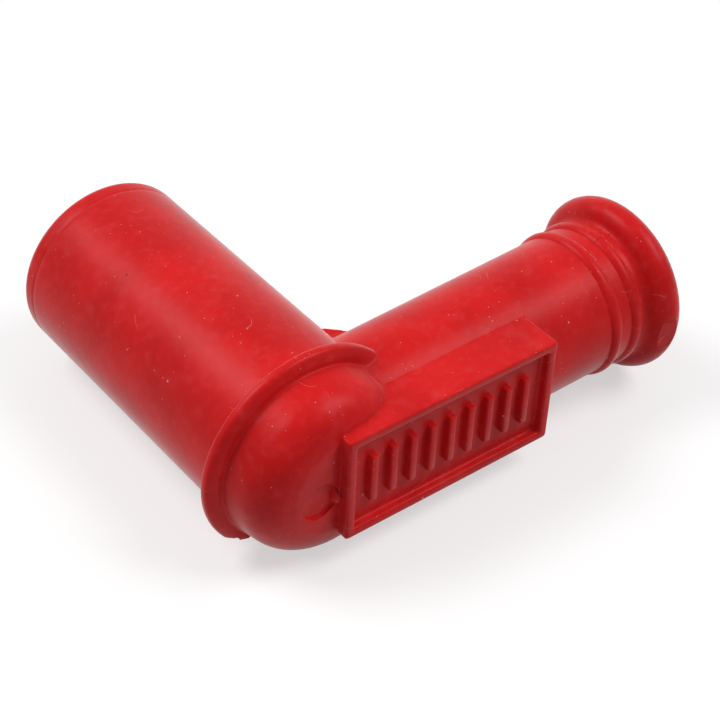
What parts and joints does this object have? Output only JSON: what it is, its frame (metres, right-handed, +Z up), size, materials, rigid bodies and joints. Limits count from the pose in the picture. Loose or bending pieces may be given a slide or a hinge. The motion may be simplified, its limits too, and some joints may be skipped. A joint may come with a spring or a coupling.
{
  "type": "spark plug cap",
  "caption": "Right-angled red silicone spark plug cap with a flanged elbow, a ribbed lead tube and a brass terminal socket inside.",
  "frame": {"origin": "centre of the cap's bounding box, on the surface that it lies on", "axes": "+X along the lead tube towards its collar, +Y along the barrel towards its mouth, +Z up through the side that the picture looks down on"},
  "size_m": [0.0674, 0.0546, 0.0261],
  "materials": {
    "red_silicone": "satin moulded silicone, dusty and scuffed",
    "turned_brass": "turned, slightly dulled",
    "spring_steel": "drawn wire"
  },
  "bodies": {
    "root": {"boot": "red_silicone", "plug_socket": "turned_brass", "retaining_clip": "spring_steel", "lead_screw": "turned_brass"}
  },
  "joints": []
}
